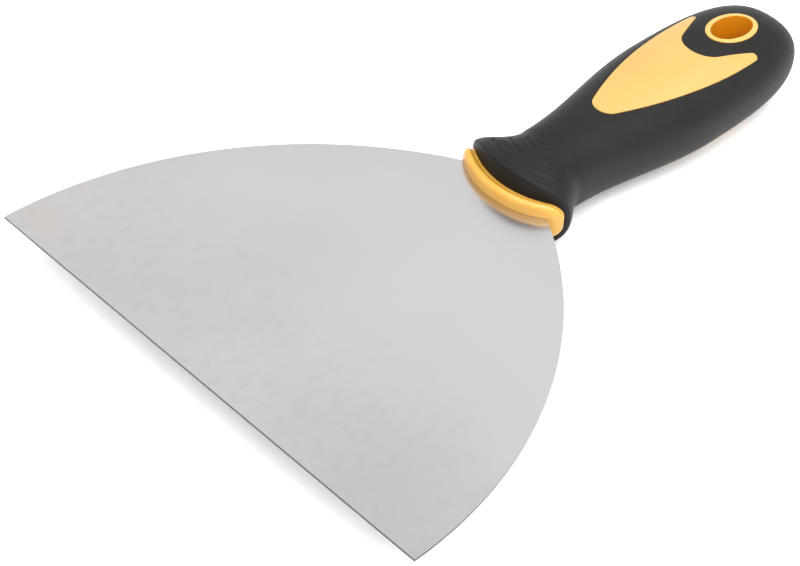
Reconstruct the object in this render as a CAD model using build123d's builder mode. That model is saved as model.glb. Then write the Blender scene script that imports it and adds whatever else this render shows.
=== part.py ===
from build123d import *
from math import ceil, copysign, cos, pi, radians, sin
import os

# A drywall taping knife: a flexible steel blade, pinned by its tang between two hard core
# halves, with a ferrule around the blade's root and a soft grip moulded over the core.
#
# +Y runs from the working edge to the rounded end, +X is across the blade, +Z is up.
# The origin is under the middle of the knife, level with the lowest point of the grip.

# Blade
BLADE_WIDTH = 150.0  # the working edge
BLADE_THICKNESS = 0.7
BLADE_REACH = 106.5  # from the working edge to the root line, where the sides enter the ferrule
ROOT_WIDTH = 30.8  # the blade's width on the root line
ROOT_DEPTH = 2.5  # how far that width goes on inside the ferrule
TANG_MARGIN = 2.0  # core left beside the tang at the neck
TANG_CORNER = 4.0

# Pins through the tang
PIN_NAMES = ("tang_pin_front", "tang_pin_middle", "tang_pin_rear")
PIN_DIAMETER = 4.0
PIN_PITCH = 14.0
FIRST_PIN = 15.0  # behind the root line
PIN_TAIL = 7.0  # from the last pin to the tang's end
PIN_COVER = 1.5  # core left over each end of a pin at the neck
PIN_CHAMFER = 0.4

# Handle, measured behind the root line
HANDLE_LENGTH = 112.0
GRIP_DROP = 2.4  # the grip's axis is this far under the blade at the flange
END_DROP = 1.9  # and this far at the rounded end
FLANGE_RIM = 1.2  # how much further than the ferrule the flange reaches, on each side
FLANGE_HEIGHT = 23.2
FLANGE_LENGTH = 6.2  # to the front edge of its sides, where its width is measured
FLANGE_EDGE = 0.8  # the rounding of its front edge
FLARE = 1.7  # exponent of the flare from the neck to the flange; 1 would be straight
NECK_WIDTH = 23.8
NECK_HEIGHT = 22.4
NECK_AT = 17.3
PALM_WIDTH = 36.4
PALM_HEIGHT = 25.4
PALM_FROM_END = 44.0
SECTION_FULLNESS = 2.35  # exponent of the ovals across the grip; 2 would be an ellipse
END_FULLNESS = 3.0  # the same for the rounded end, seen from above and from the side
SKIN = 2.3  # the soft grip's thickness over the core

# Ribs moulded in the neck, above and below, left between curved grooves
GROOVE_COUNT = 4
GROOVE_PITCH = 4.75
GROOVE_WIDTH = 1.1
GROOVE_DEPTH = 0.5
FIRST_GROOVE = 2.1  # radius of the smallest groove
GROOVE_TURN = 45.0  # how far each groove reaches to each side, in degrees

# Ferrule
COLLAR_SIDE = 1.6  # beside the blade's root
COLLAR_HEIGHT = 9.5
COLLAR_CORNER = 3.7
COLLAR_DROP = 1.75  # its axis is this far under the blade
COLLAR_BOW = 5.2  # how far its front bows forward between the blade's two sides
COLLAR_PROUD = 3.8  # how far it stands out in front of the flange
COLLAR_EDGE = 1.4  # the rounding of its front edge
COLLAR_WALL = 1.6
COLLAR_BACK = 6.5  # behind the root line
COLLAR_RIM = 1.0  # how far the rim round its front stands out
RIM_LENGTH = 2.2
SLOT_PLAY = 0.1  # at each side of the blade's root

# Windows in the grip, where the core shows flush
NOSE_RADIUS = 4.4
NOSE_TURN = 22.5  # how far the flanks open from the knife's axis at the nose, in degrees
NOSE_GAP = 17.5  # from the neck's narrowest place to the nose
WINDOW_RIM = 5.7  # grip left beside the window's tips at the palm
TIP_RADIUS = 1.1
TIP_GAP = 3.6  # the tips' centres are this far in front of the eyelet's centre
NOTCH_MARGIN = 1.0  # how much wider than the eyelet the notch is, on each side
NOTCH_GAP = 8.7  # from the notch to the eyelet

# Hang eyelet
EYELET_WIDTH = 12.2
EYELET_LENGTH = 18.5
EYELET_WALL = 1.5
EYELET_FROM_END = 21.2

# Inside of the core
CORE_WALL = 2.5
HOLLOW_GAP = 4.0  # solid plastic left between the hollow and the tang or the eyelet
STUD_DIAMETER = 3.0
STUD_HEIGHT = 2.5
STUD_SPREAD = 7.0
BOSS_DIAMETER = 6.5

# Accuracy of the grip's form
STATION_STEP = 4.0
OVAL_POINTS = 16
END_STATIONS = 14
END_TURN = radians(87)

# Places worked out from the sizes
LENGTH = BLADE_REACH + HANDLE_LENGTH
EDGE = -LENGTH / 2
ROOT = EDGE + BLADE_REACH
END = LENGTH / 2
FRONT = ROOT - COLLAR_BOW
SHOULDER = ROOT + ROOT_DEPTH
COLLAR_END = ROOT + COLLAR_BACK
FLANGE_END = ROOT + FLANGE_LENGTH
NECK = ROOT + NECK_AT
PALM = END - PALM_FROM_END
EYELET = END - EYELET_FROM_END
TANG_END = ROOT + FIRST_PIN + PIN_PITCH * (len(PIN_NAMES) - 1) + PIN_TAIL
HOLLOW_START = TANG_END + HOLLOW_GAP
HOLLOW_END = EYELET - EYELET_LENGTH / 2 - HOLLOW_GAP
HOLLOW_MIDDLE = (HOLLOW_START + HOLLOW_END) / 2

# Widths that follow the blade's root, and the tang's, which follows the neck
COLLAR_WIDTH = ROOT_WIDTH + 2 * COLLAR_SIDE
FLANGE_WIDTH = COLLAR_WIDTH + 2 * FLANGE_RIM
TANG_WIDTH = NECK_WIDTH - 2 * (SKIN + TANG_MARGIN)

# Heights: the blade's middle is as far up as the flange or the palm reaches under it
PALM_DROP = GRIP_DROP + (END_DROP - GRIP_DROP) * (PALM - FLANGE_END) / (END - FLANGE_END)
BLADE = max(GRIP_DROP + FLANGE_HEIGHT / 2, PALM_DROP + PALM_HEIGHT / 2)
COLLAR_AXIS = BLADE - COLLAR_DROP
TOP = 2 * BLADE  # clear above everything

# The front of the ferrule is one arc through its middle and the blade's sides
BOW_RADIUS = ((ROOT_WIDTH / 2) ** 2 + COLLAR_BOW**2) / (2 * COLLAR_BOW)
BOW_TURN = 65  # enough to pass the grip's widest place

# The pins stop short of the neck's skin
PIN_SPAN = NECK_HEIGHT - 2 * (SKIN + PIN_COVER)
PIN_FOOT = BLADE - GRIP_DROP - PIN_SPAN / 2


def across(y, z):
    """The plane across the knife at y that looks forward, with its origin at height z."""
    return Plane((0, y, z), x_dir=(1, 0, 0), z_dir=(0, -1, 0))


def blend(first, second, share):
    """A size between two others, which leaves both without a kink."""
    return first + (second - first) * (1 - cos(pi * share)) / 2


def half_sizes(y, inset):
    """Half the width and half the height of the grip's form at y, smaller by inset."""
    flange = (FLANGE_WIDTH / 2, FLANGE_HEIGHT / 2)
    neck = (NECK_WIDTH / 2, NECK_HEIGHT / 2)
    palm = (PALM_WIDTH / 2, PALM_HEIGHT / 2)
    if y <= NECK:
        share = ((NECK - y) / (NECK - FLANGE_END)) ** FLARE
        return [far + (near - far) * share - inset for near, far in zip(flange, neck)]
    if y <= PALM:
        share = (y - NECK) / (PALM - NECK)
        return [blend(near, far, share) - inset for near, far in zip(neck, palm)]
    reach = min(1.0, (y - PALM) / (END - inset - PALM))
    share = (1 - reach**END_FULLNESS) ** (1 / END_FULLNESS)
    return [(half - inset) * share for half in palm]


def axis_height(y):
    """The height of the grip's axis at y: level along the flange, then rising to the end."""
    share = max(0.0, (y - FLANGE_END) / (END - FLANGE_END))
    return BLADE - GRIP_DROP - (END_DROP - GRIP_DROP) * share


def full_oval(half_width, half_height):
    """The outline of one section: an oval a little fuller than an ellipse."""
    points = []
    for step in range(OVAL_POINTS):
        turn = 2 * pi * (step + 0.5) / OVAL_POINTS
        x = copysign(abs(cos(turn)) ** (2 / SECTION_FULLNESS), cos(turn))
        z = copysign(abs(sin(turn)) ** (2 / SECTION_FULLNESS), sin(turn))
        points.append((half_width * x, half_height * z))
    return Spline(*points, periodic=True)


def grip_form(inset=0.0):
    """The grip's outer form, smaller by inset on every side, through evenly spaced ovals."""
    steps = ceil((PALM - FRONT) / STATION_STEP)
    stations = [FRONT + (PALM - FRONT) * step / steps for step in range(steps + 1)]
    for step in range(1, END_STATIONS + 1):
        reach = sin(END_TURN * step / END_STATIONS) ** (2 / END_FULLNESS)
        stations.append(PALM + (END - inset - PALM) * reach)
    with BuildPart() as form:
        for y in stations:
            with BuildSketch(across(y, axis_height(y))):
                with BuildLine():
                    full_oval(*half_sizes(y, inset))
                make_face()
        loft()
    return form.part


def behind_bow(start):
    """The space behind the ferrule's bowed front, with the foremost point moved to start."""
    with BuildPart() as space:
        with BuildSketch(Plane.XY):
            with BuildLine():
                bow = CenterArc((0, start + BOW_RADIUS), BOW_RADIUS, -90 - BOW_TURN, 2 * BOW_TURN)
                Polyline(bow @ 1, ((bow @ 1).X, END + SKIN), ((bow @ 0).X, END + SKIN), bow @ 0)
            make_face()
        extrude(amount=TOP)
    return space.part


def window_prism():
    """The window's outline, through the whole height of the grip."""
    tips = EYELET - TIP_GAP
    spread = PALM_WIDTH / 2 - WINDOW_RIM - TIP_RADIUS
    notch_radius = EYELET_WIDTH / 2 + NOTCH_MARGIN
    notch_middle = EYELET - EYELET_LENGTH / 2 - NOTCH_GAP + notch_radius
    nose_middle = NECK + NOSE_GAP + NOSE_RADIUS
    with BuildPart() as prism:
        with BuildSketch(Plane.XY):
            with BuildLine():
                nose = CenterArc((0, nose_middle), NOSE_RADIUS, -90, 90 - NOSE_TURN)
                tip = CenterArc((spread, tips), TIP_RADIUS, 0, 180 - NOSE_TURN)
                notch = CenterArc((0, notch_middle), notch_radius, -90, 90 - NOSE_TURN)
                TangentArc(nose @ 1, tip @ 0, tangent=nose % 1)
                Line(tip @ 1, notch @ 1)
                mirror(about=Plane.YZ)
            make_face()
        extrude(amount=TOP)
    return prism.part


def oval_prism(width, length):
    """An upright oval at the hang hole, through the whole height of the grip."""
    with BuildPart() as prism:
        with BuildSketch(Plane((0, EYELET, 0))):
            Ellipse(width / 2, length / 2)
        extrude(amount=TOP)
    return prism.part


os.makedirs("parts", exist_ok=True)

# The blade: one sheet with its tang, the pin holes in a row along it
with BuildPart() as blade:
    with BuildSketch(Plane.XY.offset(BLADE - BLADE_THICKNESS / 2)):
        with BuildLine():
            half_edge = Line((0, EDGE), (BLADE_WIDTH / 2, EDGE))
            side = TangentArc(half_edge @ 1, (ROOT_WIDTH / 2, ROOT), tangent=(0, 1))
            Polyline(
                side @ 1,
                (ROOT_WIDTH / 2, SHOULDER),
                (TANG_WIDTH / 2, SHOULDER),
                (TANG_WIDTH / 2, TANG_END),
                (0, TANG_END),
            )
            mirror(about=Plane.YZ)
        make_face()
        with Locations(*[(0, ROOT + FIRST_PIN + PIN_PITCH * pin) for pin in range(len(PIN_NAMES))]):
            Circle(PIN_DIAMETER / 2, mode=Mode.SUBTRACT)
    extrude(amount=BLADE_THICKNESS)
    fillet(blade.edges().filter_by(Axis.Z).group_by(Axis.Y)[-1], radius=TANG_CORNER)
blade.part.label = "blade"
export_step(blade.part, "parts/blade.step")

# The pins: plain dowels with broken edges, pressed through the tang into both core halves
tang_pins = []
for pin, pin_name in enumerate(PIN_NAMES):
    with BuildPart() as tang_pin:
        with BuildSketch(Plane((0, ROOT + FIRST_PIN + PIN_PITCH * pin, PIN_FOOT))):
            Circle(PIN_DIAMETER / 2)
        extrude(amount=PIN_SPAN)
        chamfer(tang_pin.edges().filter_by(GeomType.CIRCLE), length=PIN_CHAMFER)
    tang_pin.part.label = pin_name
    export_step(tang_pin.part, f"parts/{pin_name}.step")
    tang_pins.append(tang_pin.part)

# The hang eyelet: an oval tube through the handle, flush with the grip on both faces
with BuildPart() as hang_eyelet:
    add(grip_form())
    add(oval_prism(EYELET_WIDTH, EYELET_LENGTH), mode=Mode.INTERSECT)
    add(
        oval_prism(EYELET_WIDTH - 2 * EYELET_WALL, EYELET_LENGTH - 2 * EYELET_WALL),
        mode=Mode.SUBTRACT,
    )
hang_eyelet.part.label = "hang_eyelet"
export_step(hang_eyelet.part, "parts/hang_eyelet.step")

# The ferrule: a flat oval cap with a rim round its bowed front, a slot for the blade's root
# and a pocket behind for the tongue of the core
with BuildPart() as collar_rim:
    with BuildSketch(across(COLLAR_END, COLLAR_AXIS)):
        RectangleRounded(
            COLLAR_WIDTH + 2 * COLLAR_RIM,
            COLLAR_HEIGHT + 2 * COLLAR_RIM,
            COLLAR_CORNER + COLLAR_RIM,
        )
    extrude(amount=COLLAR_END - FRONT)
    add(behind_bow(FRONT + RIM_LENGTH), mode=Mode.SUBTRACT)

with BuildPart() as collar_form:
    with BuildSketch(across(COLLAR_END, COLLAR_AXIS)):
        RectangleRounded(COLLAR_WIDTH, COLLAR_HEIGHT, COLLAR_CORNER)
    extrude(amount=COLLAR_END - FRONT)
    add(collar_rim.part)
    add(behind_bow(FRONT), mode=Mode.INTERSECT)
    fillet(collar_form.faces().sort_by(Axis.Y)[0].edges(), radius=COLLAR_EDGE)

with BuildPart() as tongue:
    with BuildSketch(across(COLLAR_END, COLLAR_AXIS)):
        RectangleRounded(
            COLLAR_WIDTH - 2 * COLLAR_WALL,
            COLLAR_HEIGHT - 2 * COLLAR_WALL,
            COLLAR_CORNER - COLLAR_WALL,
        )
    extrude(amount=COLLAR_END - SHOULDER)

with BuildPart() as collar:
    add(collar_form.part)
    add(tongue.part, mode=Mode.SUBTRACT)
    with BuildSketch(across(SHOULDER, BLADE)):
        Rectangle(ROOT_WIDTH + 2 * SLOT_PLAY, BLADE_THICKNESS)
    extrude(amount=SHOULDER - FRONT, mode=Mode.SUBTRACT)
collar.part.label = "collar"
export_step(collar.part, "parts/collar.step")

# The core before it is hollowed: inside the grip, with a tongue in front and the islands
# that fill the windows
with BuildPart() as window_islands:
    add(window_prism())
    add(grip_form(), mode=Mode.INTERSECT)

with BuildPart() as core_form:
    add(grip_form(SKIN))
    split(bisect_by=across(COLLAR_END, 0), keep=Keep.BOTTOM)
    add(tongue.part)
    add(window_islands.part)
    add(oval_prism(EYELET_WIDTH, EYELET_LENGTH), mode=Mode.SUBTRACT)

with BuildPart() as hollow:
    add(grip_form(SKIN + CORE_WALL))
    split(bisect_by=across(HOLLOW_START, 0), keep=Keep.BOTTOM)
    split(bisect_by=across(HOLLOW_END, 0), keep=Keep.TOP)
    with BuildSketch(Plane((0, HOLLOW_MIDDLE, 0))):
        with GridLocations(2 * STUD_SPREAD, 0, 2, 1):
            Circle(BOSS_DIAMETER / 2)
    extrude(amount=TOP, mode=Mode.SUBTRACT)

# The two core halves meet in the blade's plane, and studs on the lower one locate the upper
core_halves = {"core_upper": Keep.TOP, "core_lower": Keep.BOTTOM}
for half_name, side_kept in core_halves.items():
    with BuildPart() as core_half:
        add(core_form.part)
        add(hollow.part, mode=Mode.SUBTRACT)
        add(blade.part, mode=Mode.SUBTRACT)
        for tang_pin_part in tang_pins:
            add(tang_pin_part, mode=Mode.SUBTRACT)
        split(bisect_by=Plane.XY.offset(BLADE), keep=side_kept)
        with BuildSketch(Plane((0, HOLLOW_MIDDLE, BLADE))):
            with GridLocations(2 * STUD_SPREAD, 0, 2, 1):
                Circle(STUD_DIAMETER / 2)
        extrude(
            amount=STUD_HEIGHT,
            mode=Mode.SUBTRACT if half_name == "core_upper" else Mode.ADD,
        )
    core_half.part.label = half_name
    export_step(core_half.part, f"parts/{half_name}.step")

# The grip: soft skin over the core, with a rounded flange around the ferrule and curved
# grooves in the neck
with BuildPart() as groove_rings:
    for groove in range(GROOVE_COUNT):
        radius = FIRST_GROOVE + GROOVE_PITCH * groove
        with BuildSketch(Plane((0, NECK, 0))):
            with BuildLine():
                arc = CenterArc((0, 0), radius, -90 - GROOVE_TURN, 2 * GROOVE_TURN)
            trace(arc, line_width=GROOVE_WIDTH)
        extrude(amount=TOP)
    add(grip_form(GROOVE_DEPTH), mode=Mode.SUBTRACT)

with BuildPart() as grip:
    add(grip_form())
    add(behind_bow(FRONT + COLLAR_PROUD), mode=Mode.INTERSECT)
    fillet(grip.faces().sort_by(Axis.Y)[0].edges(), radius=FLANGE_EDGE)
    add(groove_rings.part, mode=Mode.SUBTRACT)
    add(collar_form.part, mode=Mode.SUBTRACT)
    add(core_form.part, mode=Mode.SUBTRACT)
    add(oval_prism(EYELET_WIDTH, EYELET_LENGTH), mode=Mode.SUBTRACT)
grip.part.label = "grip"
export_step(grip.part, "parts/grip.step")
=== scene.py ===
from math import cos, radians, sin

import bpy
import numpy as np
from mathutils import Matrix, Vector


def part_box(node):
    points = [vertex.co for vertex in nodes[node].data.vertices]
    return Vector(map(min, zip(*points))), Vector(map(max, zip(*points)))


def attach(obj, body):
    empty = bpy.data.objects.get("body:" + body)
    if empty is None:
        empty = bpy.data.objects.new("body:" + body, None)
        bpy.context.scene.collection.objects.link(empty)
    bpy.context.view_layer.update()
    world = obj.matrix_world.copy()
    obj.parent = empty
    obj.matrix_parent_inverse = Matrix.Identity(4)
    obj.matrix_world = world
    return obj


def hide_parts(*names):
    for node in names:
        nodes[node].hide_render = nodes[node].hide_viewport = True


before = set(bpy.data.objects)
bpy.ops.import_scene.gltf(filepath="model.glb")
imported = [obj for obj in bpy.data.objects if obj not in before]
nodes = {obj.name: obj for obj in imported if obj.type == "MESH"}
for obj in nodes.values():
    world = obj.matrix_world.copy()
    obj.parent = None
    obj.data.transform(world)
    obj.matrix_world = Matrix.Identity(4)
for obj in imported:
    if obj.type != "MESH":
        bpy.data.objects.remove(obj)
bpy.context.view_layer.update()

# The room: the knife lies on a pale table under broad, soft studio lights, with its blade
# held clear of the table by the thicker handle, as such a knife lies on a bench.


class Socket:
    """A socket of a material's nodes, on which the material's sums are written."""

    def __init__(self, tree, end=None):
        self.tree = tree
        self.end = end

    def node(self, kind, settings, sockets, output=0):
        """A new node: its settings first, then its sockets' values or links."""
        made = self.tree.nodes.new(kind)
        for name, value in settings.items():
            setattr(made, name, value)
        for name, value in sockets.items():
            if isinstance(value, Socket):
                self.tree.links.new(value.end, made.inputs[name])
            else:
                made.inputs[name].default_value = value
        return Socket(self.tree, made.outputs[output])

    def math(self, operation, first, second):
        return self.node("ShaderNodeMath", {"operation": operation}, {0: first, 1: second})

    def __add__(self, other):
        return self.math("ADD", self, other)

    def __sub__(self, other):
        return self.math("SUBTRACT", self, other)

    def __mul__(self, other):
        return self.math("MULTIPLY", self, other)

    def __rsub__(self, other):
        return self.math("SUBTRACT", other, self)

    def __abs__(self):
        return self.math("ABSOLUTE", self, 0.0)

    __radd__ = __add__
    __rmul__ = __mul__

    def part(self, axis):
        """One coordinate of a place or a direction."""
        return self.node("ShaderNodeSeparateXYZ", {}, {"Vector": self}, output=axis)

    def ramp(self, start, end):
        """0 where the value is at start, 1 where it is at end, smooth between."""
        return self.node(
            "ShaderNodeMapRange",
            {"interpolation_type": "SMOOTHSTEP"},
            {"Value": self, "From Min": start, "From Max": end},
        )

    def noise(self, size, detail=2.0, stretch=(1, 1, 1)):
        """A random pattern on a place, with features about size across, in metres."""
        scale = [axis / size for axis in stretch]
        scaled = self.node("ShaderNodeMapping", {}, {"Vector": self, "Scale": scale})
        sockets = {"Vector": scaled, "Scale": 1.0, "Detail": detail}
        return self.node("ShaderNodeTexNoise", {}, sockets)

    def choose(self, first, second):
        """The first colour where this mask is 0, the second where it is 1."""
        return self.node(
            "ShaderNodeMix", {"data_type": "RGBA"}, {0: self, 6: first, 7: second}, output=2
        )


def finish(name, constants):
    """A new material with its constants set. Gives it, its place socket and its shader."""
    material = bpy.data.materials.new(name)
    material.use_nodes = True
    tree = material.node_tree
    shader = tree.nodes["Principled BSDF"]
    for socket, value in constants.items():
        shader.inputs[socket].default_value = value
    place = Socket(tree).node("ShaderNodeTexCoord", {}, {}, output="Object")
    return material, place, shader


def feed(shader, **sockets):
    """Links what varies to the shader: colour, roughness and the height of its relief."""
    tree = shader.id_data
    tree.links.new(sockets["colour"].end, shader.inputs["Base Color"])
    tree.links.new(sockets["roughness"].end, shader.inputs["Roughness"])
    bump = sockets["height"].node(
        "ShaderNodeBump", {}, {"Height": sockets["height"], "Distance": sockets["depth"]}
    )
    tree.links.new(bump.end, shader.inputs["Normal"])


FLOOR_SIDE = 8.0
FLOOR_GAP = 0.0002
floor_mesh = bpy.data.meshes.new("floor")
half = FLOOR_SIDE / 2
floor_corners = [(-half, -half, 0), (half, -half, 0), (half, half, 0), (-half, half, 0)]
floor_mesh.from_pydata(floor_corners, [], [(0, 1, 2, 3)])
floor = bpy.data.objects.new("floor", floor_mesh)
floor.location.z = -FLOOR_GAP
bpy.context.scene.collection.objects.link(floor)
paper, place, shader = finish("floor_paper", {"Specular IOR Level": 0.0})
tone = place.noise(0.4)
feed(
    shader,
    colour=tone.choose((0.95, 0.95, 0.95, 1), (0.97, 0.97, 0.97, 1)),
    roughness=tone * 0.1 + 0.85,
    height=place.noise(0.002),
    depth=0.00002,
)
floor_mesh.materials.append(paper)

world = bpy.data.worlds.new("studio")
world.use_nodes = True
sky = world.node_tree.nodes["Background"]
sky.inputs["Color"].default_value = (1.0, 0.99, 0.985, 1)
sky.inputs["Strength"].default_value = 1.0
bpy.context.scene.world = world
bpy.context.scene.view_settings.view_transform = "Standard"


def soft_light(name, power, width, place, target):
    """A square area light that looks at target."""
    lamp = bpy.data.lights.new(name, "AREA")
    lamp.energy = power
    lamp.size = width
    light = bpy.data.objects.new(name, lamp)
    light.location = place
    light.rotation_euler = (Vector(target) - Vector(place)).to_track_quat("-Z", "Y").to_euler()
    bpy.context.scene.collection.objects.link(light)


soft_light("overhead", power=42.0, width=1.9, place=(0.35, -0.2, 1.3), target=(0, 0, 0.01))
soft_light("side_fill", power=1.0, width=0.8, place=(0.9, 0.3, 0.5), target=(0, 0.05, 0.01))

# The camera: a long lens, turned a little, looking down over the blade from its near corner.
CAMERA_PLACE = (0.30385, -0.37387, 0.42836)
CAMERA_TURN = radians(42.3165)
CAMERA_RISE = radians(43.2375)
CAMERA_ROLL = radians(5.2155)
LENS = 108
SENSOR_WIDTH = 36
outward = Vector((sin(CAMERA_TURN), -cos(CAMERA_TURN), 0))
back = cos(CAMERA_RISE) * outward + sin(CAMERA_RISE) * Vector((0, 0, 1))
level = Vector((cos(CAMERA_TURN), sin(CAMERA_TURN), 0))
upright = back.cross(level)
right = cos(CAMERA_ROLL) * level + sin(CAMERA_ROLL) * upright
above = cos(CAMERA_ROLL) * upright - sin(CAMERA_ROLL) * level
lens = bpy.data.cameras.new("camera")
lens.lens = LENS
lens.sensor_width = SENSOR_WIDTH
camera = bpy.data.objects.new("camera", lens)
camera_axes = Matrix((right, above, back)).transposed().to_4x4()
camera.matrix_world = Matrix.Translation(CAMERA_PLACE) @ camera_axes
bpy.context.scene.collection.objects.link(camera)
bpy.context.scene.camera = camera

# The blade: one sheet of spring steel, ground, lightly polished all over and left bare, so
# it is a soft even grey, with faint stains near its corners and a darker, sheared edge.
# Towards its working edge, and most towards its near corner, painted shade darkens it,
# mixed with a faint rubbed pattern.


def dress(piece, material):
    """Gives a piece its material in place of any that it came with."""
    piece.data.materials.clear()
    piece.data.materials.append(material)


def steep(place, wall, level):
    """1 where the surface stands upright, 0 where it lies level."""
    normal = place.node("ShaderNodeNewGeometry", {}, {}, output="Normal")
    return 1 - abs(normal.part("Z")).ramp(wall, level)


CLEAN_GREY = (0.615, 0.605, 0.612, 1)
PALE_GREY = (0.65, 0.64, 0.647, 1)
# painted shade near the working edge and the near corner, with a faint rubbed pattern, darkens
# towards this grey
SHADE_AND_RUBBED_GREY = (0.1, 0.1, 0.1, 1)
WARM_STAIN = (0.62, 0.56, 0.47, 1)
SHEARED_GREY = (0.045, 0.045, 0.045, 1)
SHADE_AND_RUB_REACH = 0.07
STAIN_REACH = 0.05
CORNERS_FROM, CORNERS_TO = 0.035, 0.07
edge_low, edge_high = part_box("blade")
steel, place, shader = finish("spring_steel", {"Metallic": 1.0})
blot = place.noise(0.02, detail=4.0)
cloud = place.noise(0.06)
grain = place.noise(0.0006, detail=3.0, stretch=(0.12, 1, 1))
across = place.part("X")
along = place.part("Y")
sheared = steep(place, 0.2, 0.9)
near_corners = abs(across).ramp(CORNERS_FROM, CORNERS_TO)
near_edge = 1 - along.ramp(edge_low.y, edge_low.y + SHADE_AND_RUB_REACH)
at_edge = 1 - along.ramp(edge_low.y, edge_low.y + STAIN_REACH)
rubbed = place.noise(0.003, detail=6.0, stretch=(1, 0.6, 1)).ramp(0.45, 0.75)
# painted shade: darker towards the working edge and most towards the near corner, plus a faint
# rubbed pattern
painted_shade_and_rubbing = near_edge * (across.ramp(-0.03, 0.08) * 0.14 + rubbed * 0.05 + 0.05)
warm = blot.ramp(0.48, 0.7) * at_edge * near_corners * 0.3
grey = cloud.ramp(0.3, 0.7).choose(CLEAN_GREY, PALE_GREY)
stained = warm.choose(painted_shade_and_rubbing.choose(grey, SHADE_AND_RUBBED_GREY), WARM_STAIN)
feed(
    shader,
    colour=sheared.choose(stained, SHEARED_GREY),
    roughness=cloud * 0.05 + grain * 0.05 + blot * 0.04 + 0.15,
    height=grain,
    depth=0.000004,
)
dress(nodes["blade"], steel)

# The core: two halves of the same hard plastic in a paler yellow, glued over the tang and
# the pins. They show through the grip's windows, rubbed smooth by the hand.
pale, place, shader = finish("core_plastic", {"Specular IOR Level": 0.45})
flow = place.noise(0.012, detail=3.0, stretch=(1, 0.4, 1))
skin = place.noise(0.0005)
feed(
    shader,
    colour=flow.ramp(0.3, 0.7).choose((0.455, 0.275, 0.072, 1), (0.475, 0.29, 0.080, 1)),
    roughness=flow * 0.10 + skin * 0.08 + 0.34,
    height=skin,
    depth=0.00001,
)
dress(nodes["core_upper"], pale)
dress(nodes["core_lower"], pale)

# The hang eyelet: an oval tube through the handle's end, moulded in the same plastic as
# the core and flush with the grip above and below. The walls inside its hole are painted a
# deeper, darker orange, as painted shade.
eyelet, place, shader = finish("eyelet_plastic", {"Specular IOR Level": 0.45})
flow = place.noise(0.006, detail=3.0)
skin = place.noise(0.0004)
# painted shade: the hole's upright walls get a deeper, darker orange than the rim
inside = steep(place, 0.3, 0.8)
rim = flow.ramp(0.3, 0.7).choose((0.46, 0.31, 0.082, 1), (0.49, 0.33, 0.092, 1))
feed(
    shader,
    colour=inside.choose(rim, (0.60, 0.225, 0.005, 1)),
    roughness=flow * 0.10 + skin * 0.08 + 0.30,
    height=skin,
    depth=0.00001,
)
dress(nodes["hang_eyelet"], eyelet)

# The pins: three plain steel dowels through the tang, hidden inside the core.
dowel, place, shader = finish("pin_steel", {"Metallic": 1.0})
turning = place.noise(0.0003, detail=3.0, stretch=(1, 1, 0.05))
feed(
    shader,
    colour=turning.choose((0.42, 0.42, 0.43, 1), (0.56, 0.56, 0.57, 1)),
    roughness=turning * 0.2 + 0.25,
    height=turning,
    depth=0.00001,
)
for pin in ("tang_pin_front", "tang_pin_middle", "tang_pin_rear"):
    dress(nodes[pin], dowel)

# The grip: dark, matt thermoplastic rubber moulded over the core, with curved ribs in the
# neck for the thumb. Its surface is finely sparked, and hands have left it a little patchy.
# It is moulded against the core, so it dips by a hair's breadth along the windows' seams.
MM = 0.001
HANDLE_LENGTH = 112.0 * MM
FLANGE_LENGTH = 6.2 * MM
NECK_FROM_ROOT = 17.3 * MM
PALM_FROM_END = 44.0 * MM
FLANGE_HALVES = (18.2 * MM, 11.6 * MM)
NECK_HALVES = (11.9 * MM, 11.2 * MM)
PALM_HALVES = (18.2 * MM, 12.7 * MM)
FLANGE_DROP = 2.4 * MM
END_DROP = 1.9 * MM
FLANGE_EDGE = 0.9 * MM
FLARE = 1.7
FLARE_SHARE = 0.35
ROUND_END = 3.0
OVAL = 2.35
THUMB_SCOOP = 0.35
SKIN = 2.3 * MM
SEAM = 0.10 * MM
LIP_DEPTH = 0.22 * MM
LIP_REACH = 0.55 * MM
BOW_HALF_WIDTH = 15.4 * MM
BOW = 5.2 * MM
FERRULE_PROUD = 3.8 * MM

blade_plane = (edge_low.z + edge_high.z) / 2
handle_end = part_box("grip")[1].y
root_line = handle_end - HANDLE_LENGTH
flange_end = root_line + FLANGE_LENGTH
neck_at = root_line + NECK_FROM_ROOT
palm_at = handle_end - PALM_FROM_END
eyelet_low, eyelet_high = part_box("hang_eyelet")
eyelet_at = (eyelet_low.y + eyelet_high.y) / 2


def ease(share):
    """From 0 to 1 without a kink at either end."""
    return (1 - np.cos(np.pi * np.clip(share, 0, 1))) / 2


def grip_halves(y, inset=0.0):
    """Half the width and half the height of the handle at y, smaller by inset."""
    share = (neck_at - y) / (neck_at - flange_end)
    flare = FLARE_SHARE * np.clip(share, 0, None) ** FLARE + (1 - FLARE_SHARE) * ease(share)
    to_palm = ease((y - neck_at) / (palm_at - neck_at))
    reach = np.clip((y - palm_at) / (handle_end - inset - palm_at), 0, 1)
    closing = (1 - reach**ROUND_END) ** (1 / ROUND_END)
    halves = []
    for flange, neck, palm in zip(FLANGE_HALVES, NECK_HALVES, PALM_HALVES):
        size = neck + (flange - neck) * flare + (palm - neck) * to_palm - inset
        halves.append(size * closing)
    return halves


def grip_axis(y):
    """The height of the handle's axis at y."""
    share = np.clip((y - flange_end) / (handle_end - flange_end), 0, None)
    return blade_plane - FLANGE_DROP + (FLANGE_DROP - END_DROP) * share


def on_oval(turn, y, inset=0.0):
    """The place on the handle's oval at y, in the direction turn from its axis.

    The upper flanks between flange and neck are flatter than the rest, for the thumb.
    """
    half_width, half_height = grip_halves(y, inset)
    scoop = np.clip((y - flange_end) / (neck_at - flange_end), 0, 1)
    power = OVAL - THUMB_SCOOP * 4 * scoop * (1 - scoop) * (np.sin(turn) > 0)
    radius = (abs(np.cos(turn)) ** power + abs(np.sin(turn)) ** power) ** (-1 / power)
    return half_width * np.cos(turn) * radius, half_height * np.sin(turn) * radius


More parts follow.
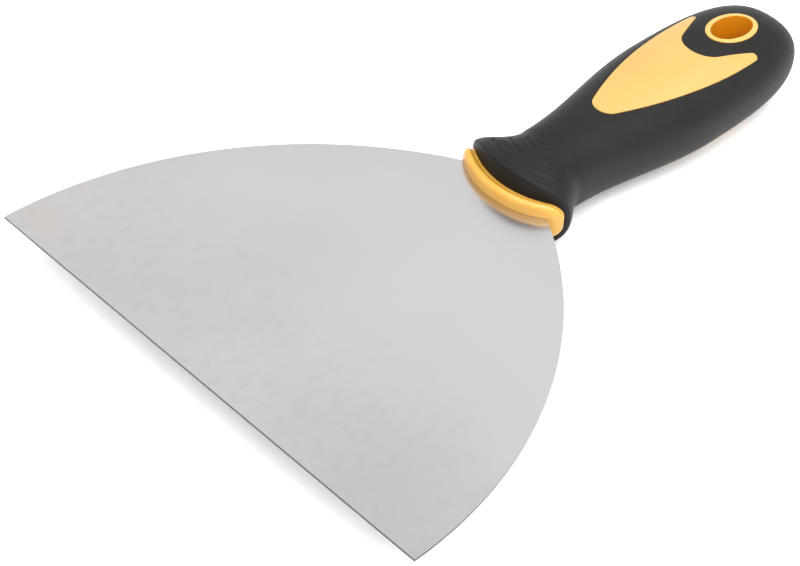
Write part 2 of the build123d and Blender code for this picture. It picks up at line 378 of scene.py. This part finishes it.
def tube(rings):
    """Faces that join equal rings of points one after another, with both ends closed."""
    count = len(rings[0])
    points = [point for ring in rings for point in ring]
    faces = []
    for ring in range(len(rings) - 1):
        for step in range(count):
            after = (step + 1) % count
            here, there = ring * count, (ring + 1) * count
            faces.append((here + step, here + after, there + after, there + step))
    faces.append(tuple(range(count))[::-1])
    faces.append(tuple(range((len(rings) - 1) * count, len(rings) * count)))
    return points, faces


AROUND = 256
turns = (np.arange(AROUND) + 0.5) * 2 * np.pi / AROUND
bow_radius = (BOW_HALF_WIDTH**2 + BOW**2) / (2 * BOW)
flange_front = root_line - BOW + FERRULE_PROUD


def bowed(x):
    """Where the flange's front face is, at x."""
    return flange_front + bow_radius - np.sqrt(bow_radius**2 - x**2)


def ring_at(y, inset=0.0):
    """One ring of points; y may differ from point to point."""
    x, z = on_oval(turns, np.broadcast_to(y, turns.shape), inset)
    return np.stack([x, np.broadcast_to(y, turns.shape), grip_axis(y) + z], axis=1)


# The flange's rim is where the flared sides meet its bowed front. Each step brings rim_y
# halfway from where it is to the front at that width, until it settles.
SETTLING_STEPS = 60
widest = 0.9 * bow_radius
rim_y = np.full(AROUND, flange_front)
for _ in range(SETTLING_STEPS):
    x, z = on_oval(turns, rim_y)
    rim_y = (rim_y + bowed(np.clip(x, -widest, widest))) / 2
rim_x, rim_z = on_oval(turns, rim_y)
rim_points = np.stack([rim_x, rim_y, grip_axis(rim_y) + rim_z], axis=1)


def on_front(scale):
    """A ring on the bowed front, the rim drawn in by scale."""
    x = rim_x * scale
    return np.stack([x, bowed(x), grip_axis(rim_y) + rim_z * scale], axis=1)


# The outer surface, ring after ring: the front face, its rounded edge, the flare with rings
# that straighten out behind the bow, the neck and palm, and the rounded end.
STRAIGHT_FROM = 2.5 * MM
face_ring = on_front(1 - FLANGE_EDGE / np.hypot(rim_x, rim_z))
side_ring = ring_at(rim_y + FLANGE_EDGE)
outside = [on_front(scale) for scale in (0.02, 0.3, 0.6, 0.8)]
for share in np.linspace(0, 1, 8):
    edge = face_ring * (1 - share) ** 2 + rim_points * 2 * share * (1 - share)
    outside.append(edge + side_ring * share**2)
straight_at = flange_end + STRAIGHT_FROM
for share in np.linspace(0, 1, 30)[1:]:
    outside.append(ring_at(side_ring[:, 1] + (straight_at - side_ring[:, 1]) * share))
for y in np.linspace(straight_at, palm_at, 150)[1:]:
    outside.append(ring_at(y))
for lean in np.linspace(0, np.pi / 2, 90)[1:-1]:
    outside.append(ring_at(palm_at + (handle_end - palm_at) * sin(lean) ** (2 / ROUND_END)))
outside = np.array(outside)


def arc(centre, radius, start, turn, steps):
    """Points on an arc, with angles in degrees."""
    angles = np.radians(np.linspace(start, start + turn, steps))
    across = centre[0] + radius * np.cos(angles)
    along = centre[1] + radius * np.sin(angles)
    return np.stack([across, along], axis=1)


# The window's outline: a round nose towards the blade, two long bowed flanks, two small
# rounded tips beside the eyelet, and a round notch between them.
NOSE_BEHIND_NECK = 21.9 * MM
NOSE_RADIUS = 4.4 * MM
NOSE_TURN = 67.5
TIP_OUT = 11.4 * MM
TIP_BEFORE_EYELET = 3.6 * MM
TIP_RADIUS = 1.1 * MM
TIP_TURN = 157.5
NOTCH_BEFORE_EYELET = 17.95 * MM
NOTCH_RADIUS = 7.1 * MM
nose = arc((0, neck_at + NOSE_BEHIND_NECK), NOSE_RADIUS, -90, NOSE_TURN, 14)
tip = arc((TIP_OUT, eyelet_at - TIP_BEFORE_EYELET), TIP_RADIUS, 0, TIP_TURN, 12)
notch_at = eyelet_at - NOTCH_BEFORE_EYELET + NOTCH_RADIUS
notch = arc((0, notch_at), NOTCH_RADIUS, NOSE_TURN - 90, -NOSE_TURN, 20)
heading = np.array([cos(radians(NOSE_TURN)), sin(radians(NOSE_TURN))])
inward = np.array([-heading[1], heading[0]])
chord = tip[0] - nose[-1]
flank_radius = chord @ chord / (2 * chord @ inward)
flank_centre = nose[-1] + inward * flank_radius
flank_turn = 2 * np.degrees(np.arcsin(np.linalg.norm(chord) / (2 * flank_radius)))
flank = arc(flank_centre, flank_radius, NOSE_TURN - 90, flank_turn, 50)
straight = np.linspace(tip[-1], notch[0], 12)[1:-1]
half_outline = np.concatenate([nose, flank[1:], tip[1:], straight, notch])
outline = np.concatenate([half_outline, half_outline[-2:0:-1] * [-1, 1]])


def distances(points, loop):
    """How far each point is from a closed outline, less than 0 inside it."""
    starts, ends = loop, np.roll(loop, -1, axis=0)
    best = np.full(len(points), 1e9)
    crossed = np.zeros(len(points), bool)
    for start, end in zip(starts, ends):
        run = end - start
        share = np.clip(((points - start) @ run) / (run @ run), 0, 1)
        best = np.minimum(best, np.linalg.norm(points - start - share[:, None] * run, axis=1))
        above = (points[:, 1] < start[1]) != (points[:, 1] < end[1])
        level = start[0] + (points[:, 1] - start[1]) / (run[1] if run[1] else 1e-12) * run[0]
        crossed ^= above & (points[:, 0] < level)
    return np.where(crossed, -best, best)


def grown(loop, gap):
    """The outline moved outwards by gap."""
    along = np.roll(loop, -1, axis=0) - np.roll(loop, 1, axis=0)
    out = np.stack([along[:, 1], -along[:, 0]], axis=1)
    return loop + gap * out / np.linalg.norm(out, axis=1)[:, None]


EYELET_HALVES = (6.1 * MM, 9.25 * MM)
hole_turns = np.arange(96) * 2 * np.pi / 96
eyelet_loop = np.stack(
    [EYELET_HALVES[0] * np.cos(hole_turns), eyelet_at + EYELET_HALVES[1] * np.sin(hole_turns)],
    axis=1,
)

# Where the skin dips: at the seams, and in the thumb's grooves, which are arcs around the
# neck's middle and grow deeper outwards. Four grooves are deep, with a fine line behind each.
GROOVES = (  # the radius in MM, how many degrees it reaches to each side, the depth in MM
    (2.4, 60, 0.40),
    (4.5, 40, 0.10),
    (6.8, 50, 0.42),
    (8.9, 40, 0.12),
    (11.2, 47, 0.45),
    (13.4, 38, 0.12),
    (15.8, 45, 0.45),
    (17.9, 36, 0.10),
)
GROOVE_HALF = 0.75
GROOVE_RUN_OUT = 60
SHALLOW_MIDDLE = 0.45

flat = outside.reshape(-1, 3)
plan = flat[:, :2]
seams = np.minimum(abs(distances(plan, outline)), abs(distances(plan, eyelet_loop)))
dip = LIP_DEPTH * np.clip(1 - seams / LIP_REACH, 0, 1) ** 2
radius = np.hypot(flat[:, 0], flat[:, 1] - neck_at)
bearing = np.degrees(np.arctan2(abs(flat[:, 0]), neck_at - flat[:, 1]))
for groove_radius, reach, depth in GROOVES:
    near = np.clip(1 - abs(radius - groove_radius * MM) / (GROOVE_HALF * MM), 0, 1)
    ends = np.clip((reach - bearing) / (GROOVE_RUN_OUT / groove_radius), 0, 1)
    outwards = np.clip(bearing / reach, 0, 1) ** 2
    deeper = SHALLOW_MIDDLE + (1 - SHALLOW_MIDDLE) * outwards
    dip = dip + depth * MM * near**2 * (3 - 2 * near) * ends * deeper
upper = flat[:, 2] > grip_axis(flat[:, 1])
flat[:, 2] += np.where(upper, -dip, dip)
points, faces = tube(outside)

# The cavity that the core fills, with a quarter of the outside's points in each ring.
CAVITY_FROM_ROOT = 6.4 * MM
CAVITY_STRIDE = 4
cavity = []
for y in np.linspace(root_line + CAVITY_FROM_ROOT, palm_at, 40):
    cavity.append(ring_at(y, SKIN)[::CAVITY_STRIDE])
for lean in np.linspace(0, np.pi / 2, 24)[1:-1]:
    y = palm_at + (handle_end - SKIN - palm_at) * sin(lean) ** (2 / ROUND_END)
    cavity.append(ring_at(y, SKIN)[::CAVITY_STRIDE])
inner_points, inner_faces = tube(np.array(cavity))
offset = len(points)
faces += [tuple(offset + corner for corner in face[::-1]) for face in inner_faces]
points += inner_points


def solid(name, points, faces):
    """A new object of these points and faces."""
    mesh = bpy.data.meshes.new(name)
    mesh.from_pydata([tuple(map(float, point)) for point in points], [], faces)
    mesh.update()
    made = bpy.data.objects.new(name, mesh)
    bpy.context.scene.collection.objects.link(made)
    return made


CUTTER_PAST = 10 * MM
CUTTER_LEVELS = (-10 * MM, 40 * MM)


def upright_cutter(name, loop):
    """A prism on an outline, from below the handle to above it."""
    rings = [np.column_stack([loop, np.full(len(loop), level)]) for level in CUTTER_LEVELS]
    return solid(name, *tube(rings))


def rounded_box(half_width, half_height, corner, corner_steps, flat_steps=0):
    """A rounded rectangle, with flat_steps points along its upper and its lower side."""
    pieces = []
    for side_x, side_z, start in ((1, 1, 0), (-1, 1, 90), (-1, -1, 180), (1, -1, 270)):
        middle = (side_x * (half_width - corner), side_z * (half_height - corner))
        pieces.append(arc(middle, corner, start, 90, corner_steps))
        if flat_steps and start in (0, 180):
            row = np.linspace(pieces[-1][-1], pieces[-1][-1] * [-1, 1], flat_steps + 2)
            pieces.append(row[1:-1])
    return np.concatenate(pieces)


def stood_up(loop, y, middle):
    """An outline in x and z, stood up at y around the height middle."""
    return np.stack([loop[:, 0], np.broadcast_to(y, len(loop)), middle + loop[:, 1]], axis=1)


skin_mesh = solid("grip_skin", points, faces)

# The pocket is the ferrule's own outline, so that the two fit without a gap.
FERRULE_HALVES = (17.0 * MM, 4.75 * MM)
FERRULE_CORNER = 3.7 * MM
collar_low, collar_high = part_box("collar")
collar_middle = (collar_low.z + collar_high.z) / 2
pocket_loop = rounded_box(*FERRULE_HALVES, FERRULE_CORNER, corner_steps=8)[::-1]
pocket_ends = (collar_low.y - CUTTER_PAST, collar_high.y)
pocket_rings = [stood_up(pocket_loop, y, collar_middle) for y in pocket_ends]
cutters = [
    upright_cutter("window_cutter", grown(outline, SEAM)),
    upright_cutter("hole_cutter", grown(eyelet_loop, SEAM)),
    solid("pocket_cutter", *tube(pocket_rings)),
]


SHARP_ANGLE = radians(40)


def carve(piece, cutters):
    """Cuts the cutters out of a piece and smooths what is left, but for its sharp edges."""
    for cutter in cutters:
        cut = piece.modifiers.new(cutter.name, "BOOLEAN")
        cut.object = cutter
        cut.solver = "EXACT"
    view = bpy.context.evaluated_depsgraph_get()
    carved = bpy.data.meshes.new_from_object(piece.evaluated_get(view))
    piece.modifiers.clear()
    piece.data = carved
    for cutter in cutters:
        bpy.data.objects.remove(cutter)
    carved.polygons.foreach_set("use_smooth", [True] * len(carved.polygons))
    carved.set_sharp_from_angle(angle=SHARP_ANGLE)


carve(skin_mesh, cutters)

FRESH_RUBBER = (0.0065, 0.0063, 0.0060, 1)
HANDLED_RUBBER = (0.0105, 0.0096, 0.0090, 1)
rubber, place, shader = finish("grip_rubber", {"Specular IOR Level": 0.18})
patch = place.noise(0.018, detail=4.0)
dust = place.noise(0.0012, detail=4.0)
spark = place.noise(0.00025, detail=2.0)
feed(
    shader,
    colour=patch.ramp(0.35, 0.7).choose(FRESH_RUBBER, HANDLED_RUBBER),
    roughness=patch * 0.14 + dust * 0.10 + 0.42,
    height=spark,
    depth=0.00003,
)
dress(skin_mesh, rubber)
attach(skin_mesh, "root")
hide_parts("grip")

# The ferrule: a cap of hard amber plastic that is pushed over the blade's root and held by
# the core's tongue, with a rounded rim round its bowed front that stops the grip's skin. It
# is a little glossy, with faint flow marks from its mould.
RIM_OUT = 1.0 * MM
RIM_ROUND = 1.5 * MM
RIM_BACK = 3.4 * MM
LEAST_CORNER = 0.02 * MM


def grown_ferrule(grow):
    """The ferrule's outline, grown on every side, with points all along its flat sides."""
    half_width, half_height = (half + grow for half in FERRULE_HALVES)
    corner = min(max(FERRULE_CORNER + grow, LEAST_CORNER), half_height)
    return rounded_box(half_width, half_height, corner, corner_steps=9, flat_steps=28)


def ferrule_ring(depth, grow):
    """One ring of the ferrule, depth behind its bowed front."""
    loop = grown_ferrule(grow)
    front = root_line - BOW + bow_radius - np.sqrt(bow_radius**2 - loop[:, 0] ** 2)
    return stood_up(loop, front + depth, collar_middle)


rings = [ferrule_ring(0, grow * MM) for grow in (-4.7, -4.0, -3.0, -2.0, -1.0)]
for lean in np.linspace(0, np.pi / 2, 10):
    rings.append(ferrule_ring(RIM_ROUND * (1 - cos(lean)), RIM_OUT - RIM_ROUND * (1 - sin(lean))))
for share in np.linspace(0, 1, 14)[1:]:
    depth = RIM_ROUND + (RIM_BACK - RIM_ROUND) * share
    rings.append(ferrule_ring(depth, RIM_OUT * (1 - ease(share))))
last = rings[-1]
for share in np.linspace(0, 1, 6)[1:]:
    ring = last.copy()
    ring[:, 1] += (collar_high.y - last[:, 1]) * share
    rings.append(ring)
ferrule = solid("ferrule", *tube(np.array(rings)))

# The slot lets the blade's root through the ferrule's front, and the core's tongue fills the
# rest of it from behind.
SLOT_HALVES = (15.5 * MM, 0.4 * MM)
FERRULE_WALL = 1.6 * MM
TONGUE_FROM_ROOT = 2.5 * MM
tongue_tip = root_line + TONGUE_FROM_ROOT
slot_loop = np.array([(-1, -1), (-1, 1), (1, 1), (1, -1)]) * SLOT_HALVES
slot_ends = (collar_low.y - CUTTER_PAST, tongue_tip)
slot_rings = [stood_up(slot_loop, y, blade_plane) for y in slot_ends]
tongue_loop = grown_ferrule(-FERRULE_WALL)[::-1]
tongue_ends = (tongue_tip, collar_high.y + CUTTER_PAST)
tongue_rings = [stood_up(tongue_loop, y, collar_middle) for y in tongue_ends]
slot_cutter = solid("slot_cutter", *tube(slot_rings))
tongue_cutter = solid("tongue_cutter", *tube(tongue_rings))
carve(ferrule, [slot_cutter, tongue_cutter])

amber, place, shader = finish("ferrule_plastic", {"Specular IOR Level": 0.5})
flow = place.noise(0.008, detail=3.0)
skin = place.noise(0.0004)
feed(
    shader,
    colour=flow.ramp(0.3, 0.7).choose((0.50, 0.26, 0.036, 1), (0.54, 0.285, 0.046, 1)),
    roughness=flow * 0.10 + skin * 0.06 + 0.26,
    height=skin,
    depth=0.00001,
)
dress(ferrule, amber)
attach(ferrule, "root")
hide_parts("collar")
